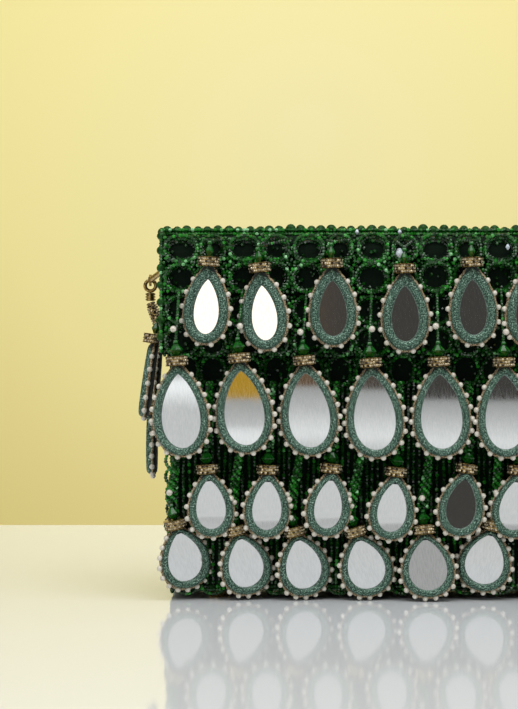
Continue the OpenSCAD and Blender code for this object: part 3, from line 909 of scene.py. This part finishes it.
class BAG_OT_flap_net(bpy.types.Operator):
    """Covers the flap with ring netting, a crest of larger beads and the strings of its drops"""
    bl_idname = "evening_bag.flap_net"
    bl_label = "Flap Netting"

    def execute(self, context):
        bag = context.scene.bag_net
        rng = np.random.default_rng(SEED + 2)
        low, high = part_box("flap_board")
        net_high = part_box("flap_bead_net")[1]
        roll = Roll(low, high, bag.edge_roll)
        half = bag.ring_height / 2
        columns = net_columns(bag, net_high.x - 0.8 * MM)
        pile = Pile()
        upper = 26.6 * MM
        front_rows = [(upper + k * bag.row_pitch, half) for k in (-2, -1, 0)]
        front_rows.append((upper + 9.4 * MM, 0.8 * half))
        over = roll.over + 1.5 * MM
        number = int((roll.end - over) / bag.row_pitch)
        top_rows = [(over + (k + 0.5) * bag.row_pitch, half) for k in range(number)]
        porthole_net(pile, roll, columns, front_rows[:2], bag, rng, 2, (0.05, 0.5))
        porthole_net(pile, roll, columns, front_rows[2:], bag, rng, 3, (0.1, 0.62))
        porthole_net(pile, roll, columns, top_rows, bag, rng, 2, (0.15, 0.65))
        size = (bag.bead_diameter, bag.bead_pitch)
        x = net_high.x - 0.7 * MM
        for w in (0.6 * MM, 2.0 * MM):
            for sign in (-1, 1):
                edge = roll.at(line((sign * x, 0.6 * MM, w), (sign * x, roll.end - 0.6 * MM, w), 160))
                string_beads(pile, edge, size, rng, (0.2, 0.6))
            for v in (roll.over - 0.2 * MM, roll.end - 0.4 * MM):
                row = roll.at(line((-x, v, w), (x, v, w), 40))
                string_beads(pile, row, size, rng, (0.3, 0.7))
        self.strings(pile, bag, rng)
        pile.put("flap_bead_netting", ["green_seed_glass", "pearl_lustre"], "flap", "glass_beads",
                 ["flap_bead_net"])
        crest = Pile()
        self.crest(crest, roll, x, bag, rng)
        crest.put("flap_crest_beads", ["olive_glass", "clear_crystal"], "flap", "glass_beads", smooth=True)
        return {"FINISHED"}

    @staticmethod
    def crest(pile, roll, x, bag, rng):
        """Larger translucent beads along the top edges and down the ends of the flap."""
        r = bag.crest_bead / 2
        for v, w in ((roll.over + 1.2 * MM, 2.0 * MM), (roll.end - 2.5 * MM, 1.9 * MM)):
            points, _ = spaced(roll.at(line((-x, v, w), (x, v, w), 40)), bag.crest_bead)
            points += rng.uniform(-0.35, 0.35, points.shape) * MM
            sizes = r * rng.uniform(0.82, 1.08, len(points))
            pile.add(BALL, poses(points, rng.normal(size=points.shape), sizes, sizes * 0.9), 0)
        for sign in (-1, 1):
            end = roll.at(line((sign * x, 3 * MM, 1.4 * MM), (sign * x, roll.end, 1.4 * MM), 160))
            points, _ = spaced(end, bag.crest_bead * 1.7)
            pile.add(BALL, poses(points, rng.normal(size=points.shape), r * 0.9, r * 0.8), 0)
        for x, z, size in ((-27, 127, 0.9), (-12.2, 127, 0.9), (24.8, 121.7, 1.0), (-12.6, 119.6, 2.0)):
            spark = roll.at(np.array([[x * MM, z * MM - roll.low, 1.9 * MM]]))
            pile.add(BICONE, poses(spark, np.array([[0.0, 0.1, 1.0]]), 0.8 * size * MM, size * MM), 1)

    @staticmethod
    def strings(pile, bag, rng):
        """Strings of beads down to each upper drop; those of the long drops carry a pearl near the end."""
        size = (bag.bead_diameter * 0.9, bag.bead_pitch * 0.9)
        for _, joint, row, number, (dx, dz, *_) in hangings(1, 2):
            x, y, z = joint["pos_m"]
            end = (x + dx * MM, y + 0.2 * MM, z + dz * MM + 0.8 * MM)
            if row == 1:
                for k in (-1, 1):
                    start = (x + k * 3.2 * MM, y + 4.2 * MM, z + 2.0 * MM)
                    string_beads(pile, line(start, end), size, rng, (0.0, 0.3))
                continue
            start = (x + 0.3 * dx * MM, y + 2.6 * MM, z + 18 * MM)
            path = np.array([start, (x + 0.6 * dx * MM, y + 0.4 * MM, z + 9 * MM), end])
            string_beads(pile, path, size, rng, (0.1, 0.55))
            sideways = 0.8 * MM * (-1) ** number
            pearl = np.array([[end[0] + sideways, y - 1.0 * MM, z + (3.2 + number % 3) * MM]])
            pile.add(BALL, poses(pearl, np.array([[0.1, 1, 0.2]]), 1.15 * MM, 1.15 * MM), 1)


# ---- boards, lining and fittings ----

def thin_sheet(points, away, thickness):
    """A closed thin sheet from a grid of points (rows, columns, 3) and the directions of its two faces."""
    rows, cols = points.shape[:2]
    face = (points + away * thickness / 2).reshape(-1, 3)
    back = (points - away * thickness / 2).reshape(-1, 3)
    index = np.arange(rows * cols).reshape(rows, cols)
    a, b, c, d = (x.ravel() for x in (index[:-1, :-1], index[:-1, 1:], index[1:, 1:], index[1:, :-1]))
    faces = [tuple(q) for q in np.stack([a, b, c, d], 1)]
    faces += [tuple(q) for q in np.stack([d, c, b, a], 1) + rows * cols]
    edge = np.concatenate([index[0, :-1], index[:-1, -1], index[-1, :0:-1], index[:0:-1, 0]])
    after = np.roll(edge, -1)
    faces += [(q, p, p + rows * cols, q + rows * cols) for p, q in zip(edge, after)]
    return np.concatenate([face, back]), faces


def puckers(u, v, rng, waves=9):
    """Soft irregular ripples, between -1 and 1, over grids u and v in metres."""
    total = np.zeros(np.broadcast(u, v).shape)
    for _ in range(waves):
        a, b, c = rng.uniform(60, 260), rng.uniform(-60, 60), rng.uniform(0, 6.3)
        total += np.sin(a * u + b * v + c)
    return total / waves


class BAG_OT_linings(bpy.types.Operator):
    """Sews in the satin: the lining of the case, its slip pocket and the facing under the flap"""
    bl_idname = "evening_bag.linings"
    bl_label = "Satin Linings"

    def execute(self, context):
        rng = np.random.default_rng(SEED + 4)
        self.tub()
        self.pocket(rng)
        self.facing(rng)
        return {"FINISHED"}

    @staticmethod
    def tub():
        """Walls and floor in one cloth, a little slack between its seams, with a rolled hem."""
        low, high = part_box("lining")
        skin, corner, cloth, around = 0.5 * MM, 3 * MM, 0.45 * MM, 240
        t = np.arange(around) * 2 * math.pi / around
        c, s = np.cos(t), np.sin(t)
        half_x, half_y = high.x - skin, high.y - skin
        k = 2 / 14
        loop = np.stack([half_x * np.sign(c) * np.abs(c) ** k, half_y * np.sign(s) * np.abs(s) ** k], 1)
        inward = -unit(loop)
        floor = low.z + 0.75 * MM
        levels = np.linspace(high.z - 0.6 * MM, floor + corner, 28)
        inner, outer = [], []
        for z in levels:
            slack = 0.6 * (1 + puckers(t * 0.07, z, np.random.default_rng(SEED))) * MM
            hem = 0.35 * MM if z > high.z - 4 * MM else 0.0
            flat = loop + inward * (slack + hem)[:, None]
            inner.append(np.column_stack([flat, np.full(around, z)]))
            outer.append(np.column_stack([flat - inward * cloth, np.full(around, z)]))
        for size in (0.985, 0.9, 0.7, 0.45, 0.2, 0.02):
            lift = 0.3 * MM * (1 + math.sin(9 * size))
            inner.append(np.column_stack([loop * size, np.full(around, floor + lift)]))
            outer.append(np.column_stack([loop * size, np.full(around, floor + lift - cloth)]))
        tub = Pile()
        tub.add(lofted(inner + outer[::-1], closed_across=True), IDENTITY)
        made = tub.put("satin_lining_tub", ["satin_lining"], "root", "lining_satin", ["lining"], smooth=True)

    @staticmethod
    def pocket(rng):
        """A slip pocket, fuller at its mouth, with a double hem."""
        low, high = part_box("inner_pocket")
        u, v = np.meshgrid(np.linspace(low.x, high.x, 90), np.linspace(low.z, high.z, 60))
        edge = np.minimum(np.minimum(u - low.x, high.x - u), v - low.z)
        full = np.clip(edge / (5 * MM), 0, 1) ** 0.6
        depth = (high.y - low.y - 1.4 * MM) * full * (0.75 + 0.25 * (v - low.z) / (high.z - low.z))
        depth += 0.3 * MM * puckers(u, v * 0.4, rng) * full
        depth += 0.35 * MM * (v > high.z - 7 * MM) * (full > 0.9)
        points = np.stack([u, high.y - 0.5 * MM - depth, v], 2)
        away = np.zeros_like(points)
        away[..., 1] = -1
        cloth = Pile()
        cloth.add(thin_sheet(points, away, 0.6 * MM), IDENTITY)
        made = cloth.put("satin_slip_pocket", ["satin_lining"], "root", "lining_satin", ["inner_pocket"],
                         smooth=True)

    @staticmethod
    def facing(rng):
        """The satin under the flap, glued to the board, with a line of stitches near its edge."""
        low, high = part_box("flap_lining")
        front, top = low.y + 0.35 * MM, high.z - 0.35 * MM
        bend = 2.5 * MM
        turn = np.linspace(0, math.pi / 2, 8)
        rise = [(front, z) for z in np.linspace(low.z, top - bend, 40)[:-1]]
        rise += [(front + bend * (1 - math.cos(a)), top - bend + bend * math.sin(a)) for a in turn]
        rise += [(y, top) for y in np.linspace(front + bend, high.y, 50)[1:]]
        rise = np.array(rise)
        way = unit(np.gradient(rise, axis=0))
        out = np.stack([-way[:, 1], way[:, 0]], 1)
        u = np.linspace(low.x, high.x, 120)
        ripple = 0.06 * MM * puckers(u[None, :], np.arange(len(rise))[:, None] * 1.2 * MM, rng)
        seam = (np.abs(np.abs(u) - (high.x - 3 * MM)) < 0.9 * MM)[None, :] * 0.08 * MM
        points = np.zeros((len(rise), len(u), 3))
        points[..., 0] = u
        points[..., 1] = rise[:, None, 0] + out[:, None, 0] * (ripple + seam)
        points[..., 2] = rise[:, None, 1] + out[:, None, 1] * (ripple + seam)
        away = np.zeros_like(points)
        away[..., 1:] = out[:, None, :]
        cloth = Pile()
        cloth.add(thin_sheet(points, away, 0.35 * MM), IDENTITY)
        made = cloth.put("satin_flap_facing", ["satin_lining"], "flap", "lining_satin", ["flap_lining"],
                         smooth=True)


class BAG_OT_case(bpy.types.Operator):
    """Gives the boards, feet, tabs and closure their cloth and metal"""
    bl_idname = "evening_bag.case"
    bl_label = "Case and Fittings"

    def execute(self, context):
        finishes = {
            "board_cloth": ["front_panel", "back_panel", "base_panel", "left_gusset", "right_gusset",
                            "flap_board", "flap_hinge_piping"],
            "nickel_plate": ["magnet_socket", "flap_magnet"],
            "gilt_brass": ["base_feet", "handle_tabs", "handle_rings", "handle_collars"],
        }
        for finish, nodes in finishes.items():
            for node in nodes:
                dressed = frame["nodes"][node]
                dressed.data.materials.clear()
                dressed.data.materials.append(material(finish))
        return {"FINISHED"}


# ---- handle ----

class BAG_OT_handle(bpy.types.Operator):
    """Sets the arched handle with rows of small stones"""
    bl_idname = "evening_bag.handle"
    bl_label = "Handle"

    def execute(self, context):
        drops = context.scene.bag_drops
        rng = np.random.default_rng(SEED + 3)
        pivot = Vector(JOINTS["handle_swing"]["pos_m"])
        low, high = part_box("handle_arch")
        radius = (high.y - low.y) / 2
        lean = math.radians(20)
        taper_l, taper_r = 6 * MM, 1.6 * MM
        eye_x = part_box("handle_rings")[1].x - 2.7 * MM
        top = high.z - taper_r * math.sin(lean)
        half = eye_x - taper_l * math.sin(lean)
        end_z = top - taper_l * math.cos(lean)
        bow = half / math.cos(lean)
        centre = Vector((0, pivot.y, end_z + bow * math.sin(lean)))
        angles = np.linspace(lean, math.pi - lean, 150)
        spine = np.stack([bow * np.cos(angles), np.full(150, centre.y), centre.z - bow * np.sin(angles)], 1)
        ends = [np.array([[sign * eye_x, centre.y, top]]) for sign in (1, -1)]
        spine = np.concatenate([ends[0], spine, ends[1]])
        thick = np.full(len(spine), radius - 0.5 * MM)
        thick[0] = thick[-1] = taper_r - 0.3 * MM
        way = unit(np.gradient(spine, axis=0))
        side = np.tile([0.0, 1.0, 0.0], (len(spine), 1))
        third = np.cross(way, side)
        core = Pile()
        around = 14
        rings = []
        for k in range(len(spine)):
            a = np.arange(around) * 2 * math.pi / around
            out = np.cos(a)[:, None] * side[k] + np.sin(a)[:, None] * third[k]
            rings.append(spine[k] + thick[k] * out)
        core.add(lofted(rings), IDENTITY, 0, 0.5)
        points, ways = spaced(spine, drops.stone * 0.98)
        ways = unit(ways)
        sides = np.tile([0.0, 1.0, 0.0], (len(points), 1))
        thirds = np.cross(ways, sides)
        reach = np.interp(np.linspace(0, 1, len(points)), np.linspace(0, 1, len(spine)), thick)
        stones = 9
        for k in range(stones):
            a = 2 * math.pi * (k + 0.5 * (np.arange(len(points)) % 2)) / stones
            out = np.cos(a)[:, None] * sides + np.sin(a)[:, None] * thirds
            spots = points + out * (reach + 0.15 * MM)[:, None]
            tilt = out + rng.uniform(-0.2, 0.2, out.shape)
            size = drops.stone / 2 * np.clip(reach / (radius - 0.5 * MM), 0.6, 1)
            # Each stone's random tone is its painted glint.
            core.add(STONE, poses(spots, tilt, size, 0.5 * MM), 1, rng.random(len(points)))
        core.put("handle_pave_arch", ["gilt_brass", "rhinestone_foil"], "handle", "gilt_pave",
                 ["handle_arch"])
        return {"FINISHED"}


# ---- studio ----

def plane(name, corners, made):
    """A flat four-cornered piece of the stage."""
    mesh = bpy.data.meshes.new(name)
    mesh.from_pydata([Vector(c) for c in corners], [], [(0, 1, 2, 3)])
    mesh.materials.append(made)
    obj = bpy.data.objects.new(name, mesh)
    bpy.context.scene.collection.objects.link(obj)
    return obj


def softbox(name, place, aim, size, power):
    """A rectangular studio light that faces aim."""
    light = bpy.data.lights.new(name, "AREA")
    light.shape = "RECTANGLE"
    light.size, light.size_y = size
    light.energy = power
    obj = bpy.data.objects.new(name, light)
    obj.location = place
    obj.rotation_euler = (Vector(aim) - Vector(place)).to_track_quat("-Z", "Y").to_euler()
    bpy.context.scene.collection.objects.link(obj)
    return obj


def glow_card(name, stops):
    """A glowing card, not a lamp, that only reflections see: a painted reflection, its colour changing from
    left to right.
    """
    made, tree = new_material(name)
    place = add_node(tree, "ShaderNodeTexCoord").outputs["Generated"]
    across = add_node(tree, "ShaderNodeSeparateXYZ", {"Vector": place}).outputs["X"]
    glow = add_node(tree, "ShaderNodeEmission", {"Color": ramp(tree, across, stops), "Strength": 1.0})
    add_node(tree, "ShaderNodeOutputMaterial", {"Surface": glow.outputs["Emission"]})
    return made


class BAG_OT_studio(bpy.types.Operator):
    """Lays the table and backdrop, and sets up the soft lights and the camera"""
    bl_idname = "evening_bag.studio"
    bl_label = "Studio"

    def execute(self, context):
        stage = context.scene.bag_stage
        front, back = stage.table_front, stage.table_back
        table, tree = new_material("lacquered_table")
        place = add_node(tree, "ShaderNodeTexCoord").outputs["Object"]
        depth = add_node(tree, "ShaderNodeSeparateXYZ", {"Vector": place}).outputs["Y"]
        # In front of the camera's view the table has no polish and carries painted shade, a band of darker
        # colour, so that the mirrors reflect an even pale tone.
        polish = spread_over(tree, depth, -0.33, -0.25, 0.0, 0.4)
        reach = spread_over(tree, depth, -1.2, -0.25)
        shade = ramp(tree, reach, [(0.0, "#ffffff"), (0.25, "#d2d2d2"), (0.9, "#d2d2d2"), (1.0, "#ffffff")])
        colour = add_node(tree, "ShaderNodeVectorMath", {0: shade, 1: tuple(stage.table_colour)[:3]},
                          operation="MULTIPLY").outputs["Vector"]
        surface(tree, {"Base Color": colour, "Roughness": 0.06, "Specular IOR Level": polish})
        plane("table", [(-3, front, 0), (3, front, 0), (3, back, 0), (-3, back, 0)], table)
        far = 1.7
        paper, tree = new_material("backdrop_paper")
        place = add_node(tree, "ShaderNodeTexCoord").outputs["Object"]
        # Painted light: the paper's colour is lighter near a spot behind the bag and darker farther from it,
        # a painted pool of light.
        away = add_node(tree, "ShaderNodeVectorMath", {0: place, 1: (0.0, far, 0.36)}, operation="DISTANCE")
        painted_light_pool = ramp(tree, away.outputs["Value"], [(0.0, "#e8dda4"), (0.38, "#ecdf98"), (0.6, "#e4d386")])
        surface(tree, {"Base Color": painted_light_pool, "Roughness": 0.9})
        plane("backdrop", [(-4, far, -2), (4, far, -2), (4, far, 3), (-4, far, 3)], paper)
        # Painted reflection: a glowing card before the bag, ochre at its left and dark grey elsewhere, seen
        # only in the mirrors and other glossy surfaces.
        dark = glow_card("painted_reflection_glow", [(0.0, "#8d6a24"), (0.3, "#b58f30"), (0.37, "#75593b"),
                                         (0.46, "#42403d"), (1.0, "#3f3e3b")])
        wide, tall = 2.4, 0.25
        card = plane("reflection_glow_card", [(-wide, front, 0), (wide, front, 0), (wide, front, tall),
                                   (-wide, front, tall)], dark)
        card.visible_camera = False
        card.visible_diffuse = False
        card.visible_shadow = False
        aim = (0, 0, 0.06)
        softbox("top_softbox", (-0.1, -0.35, 1.15), aim, (1.3, 0.9), 7)
        softbox("front_softbox", (0.1, -0.95, 1.6), (0, -0.6, 0), (1.8, 1.2), 9.5)
        softbox("left_softbox", (-0.86, -1.25, 0.5), aim, (0.62, 0.92), 1.95)
        softbox("right_fill", (1.3, -0.9, 0.7), aim, (0.7, 0.9), 3)
        wash_light = softbox("backdrop_light", (0.0, 0.6, 1.2), (0, far, -0.28), (1.2, 0.8), 8.3)
        wash_light.data.spread = math.radians(125)
        world = bpy.data.worlds.new("studio_air")
        context.scene.world = world
        world.use_nodes = True
        world.node_tree.nodes.clear()
        air = add_node(world.node_tree, "ShaderNodeBackground", {"Color": srgb("#f4f4f2"), "Strength": 0.42})
        add_node(world.node_tree, "ShaderNodeOutputWorld", {"Surface": air.outputs["Background"]})
        camera = bpy.data.cameras.new("camera")
        camera.lens = stage.lens
        camera.clip_start, camera.clip_end = 0.01, 20
        eye = bpy.data.objects.new("camera", camera)
        eye.location = stage.eye
        eye.rotation_euler = (math.radians(90), 0, 0)
        context.scene.collection.objects.link(eye)
        context.scene.camera = eye
        context.scene.view_settings.view_transform = "Standard"
        return {"FINISHED"}


# ---- panel and registration ----

OPERATORS = (BAG_OT_case, BAG_OT_linings, BAG_OT_body_net, BAG_OT_flap_net, BAG_OT_mirror_drops,
             BAG_OT_handle, BAG_OT_studio)


class BAG_PT_evening_bag(bpy.types.Panel):
    """Lists the bag's settings and the steps that build it"""
    bl_idname = "BAG_PT_evening_bag"
    bl_label = "Evening Bag"
    bl_space_type = "VIEW_3D"
    bl_region_type = "UI"
    bl_category = "Evening Bag"

    def draw(self, context):
        for group in (context.scene.bag_net, context.scene.bag_drops, context.scene.bag_stage):
            box = self.layout.box()
            for name in group.bl_rna.properties.keys():
                if name not in ("rna_type", "name"):
                    box.prop(group, name)
        for operator in OPERATORS:
            self.layout.operator(operator.bl_idname)


GROUPS = {"bag_net": BagNetSettings, "bag_drops": BagDropSettings, "bag_stage": BagStageSettings}
CLASSES = (*GROUPS.values(), *OPERATORS, BAG_PT_evening_bag)


def register():
    for each in CLASSES:
        bpy.utils.register_class(each)
    for name, group in GROUPS.items():
        setattr(bpy.types.Scene, name, bpy.props.PointerProperty(type=group))


def unregister():
    for name in GROUPS:
        delattr(bpy.types.Scene, name)
    for each in reversed(CLASSES):
        bpy.utils.unregister_class(each)


def main():
    register()
    bpy.ops.evening_bag.case()
    bpy.ops.evening_bag.linings()
    bpy.ops.evening_bag.body_net()
    bpy.ops.evening_bag.flap_net()
    bpy.ops.evening_bag.mirror_drops()
    bpy.ops.evening_bag.handle()
    bpy.ops.evening_bag.studio()


if __name__ == "__main__":
    main()
